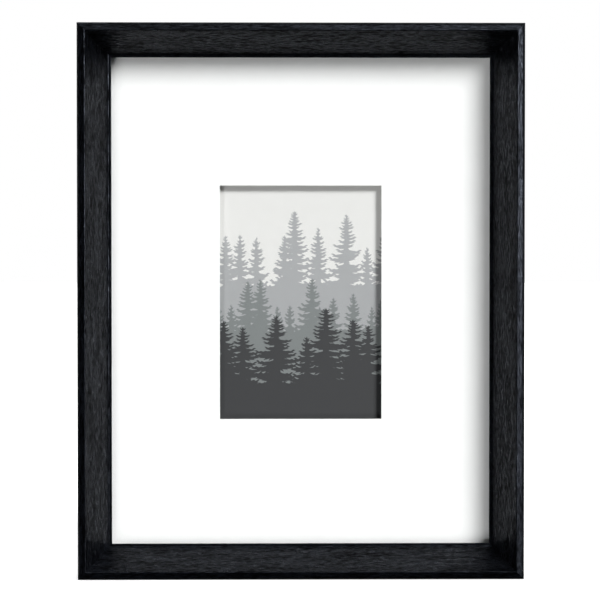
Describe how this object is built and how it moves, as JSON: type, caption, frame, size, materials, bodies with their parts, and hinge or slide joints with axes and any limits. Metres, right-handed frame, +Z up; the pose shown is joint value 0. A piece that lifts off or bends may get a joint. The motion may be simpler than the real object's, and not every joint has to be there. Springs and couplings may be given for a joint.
{
  "type": "shadow box frame",
  "caption": "Deep black wood shadow box frame with a sloping inner wall, glass, a wide white mat raised over a small print, and a lift-out back held by turn buttons.",
  "frame": {"origin": "middle of the rectangle that the frame stands on, at the foot of the bottom rail", "axes": "+Z up the frame as it stands in portrait, +Y from the glazed front towards the wall, +X to the right as seen from the front"},
  "size_m": [0.3112, 0.0408, 0.3873],
  "materials": {
    "frame_wood": "black stained open grain, satin lacquer",
    "glass": "clear, polished",
    "mat": "smooth white mat board, its window cut with a reverse bevel",
    "spacer_board": "white board strips",
    "print": "matt printed card in greys",
    "corner_paper": "plain paper",
    "mount": "off-white board",
    "hardboard": "brown hardboard, smooth outer face",
    "zinc": "bright zinc plate on pressed steel",
    "steel": "bright zinc plate",
    "rubber": "matt black"
  },
  "bodies": {
    "root": {"bottom_rail": "frame_wood", "top_rail": "frame_wood", "left_stile": "frame_wood", "right_stile": "frame_wood", "corner_v_nails": "steel", "glass_pane": "glass", "mat_board": "mat", "spacer_bottom": "spacer_board", "spacer_top": "spacer_board", "spacer_left": "spacer_board", "spacer_right": "spacer_board", "button_screws": "steel", "sawtooth_hanger_portrait": "zinc", "sawtooth_hanger_landscape": "zinc", "hanger_nails": "steel", "wall_bumpers": "rubber"},
    "back_panel": {"print_card": "print", "photo_corners": "corner_paper", "mount_board": "mount", "backing_board": "hardboard"},
    "turn_button_bottom_left_body": {"turn_button_bottom_left": "zinc"},
    "turn_button_bottom_right_body": {"turn_button_bottom_right": "zinc"},
    "turn_button_top_left_body": {"turn_button_top_left": "zinc"},
    "turn_button_top_right_body": {"turn_button_top_right": "zinc"},
    "turn_button_left_upper_body": {"turn_button_left_upper": "zinc"},
    "turn_button_left_lower_body": {"turn_button_left_lower": "zinc"},
    "turn_button_right_upper_body": {"turn_button_right_upper": "zinc"},
    "turn_button_right_lower_body": {"turn_button_right_lower": "zinc"}
  },
  "joints": [
    {"name": "back_panel_lift_off", "type": "slide", "parent": "root", "child": "back_panel", "axis": [0, 1, 0], "range_m": [0, 0.06]},
    {"name": "turn_button_bottom_left_turn", "type": "hinge", "parent": "root", "child": "turn_button_bottom_left_body", "pos_m": [-0.075, 0.01761, 0.00744], "axis": [0, 1, 0], "range_deg": [0, 90]},
    {"name": "turn_button_bottom_right_turn", "type": "hinge", "parent": "root", "child": "turn_button_bottom_right_body", "pos_m": [0.075, 0.01761, 0.00744], "axis": [0, -1, 0], "range_deg": [0, 90]},
    {"name": "turn_button_top_left_turn", "type": "hinge", "parent": "root", "child": "turn_button_top_left_body", "pos_m": [-0.075, 0.01761, 0.37991], "axis": [0, -1, 0], "range_deg": [0, 90]},
    {"name": "turn_button_top_right_turn", "type": "hinge", "parent": "root", "child": "turn_button_top_right_body", "pos_m": [0.075, 0.01761, 0.37991], "axis": [0, 1, 0], "range_deg": [0, 90]},
    {"name": "turn_button_left_upper_turn", "type": "hinge", "parent": "root", "child": "turn_button_left_upper_body", "pos_m": [-0.14814, 0.01761, 0.30367], "axis": [0, 1, 0], "range_deg": [0, 90]},
    {"name": "turn_button_left_lower_turn", "type": "hinge", "parent": "root", "child": "turn_button_left_lower_body", "pos_m": [-0.14814, 0.01761, 0.08367], "axis": [0, -1, 0], "range_deg": [0, 90]},
    {"name": "turn_button_right_upper_turn", "type": "hinge", "parent": "root", "child": "turn_button_right_upper_body", "pos_m": [0.14814, 0.01761, 0.30367], "axis": [0, -1, 0], "range_deg": [0, 90]},
    {"name": "turn_button_right_lower_turn", "type": "hinge", "parent": "root", "child": "turn_button_right_lower_body", "pos_m": [0.14814, 0.01761, 0.08367], "axis": [0, 1, 0], "range_deg": [0, 90]}
  ]
}
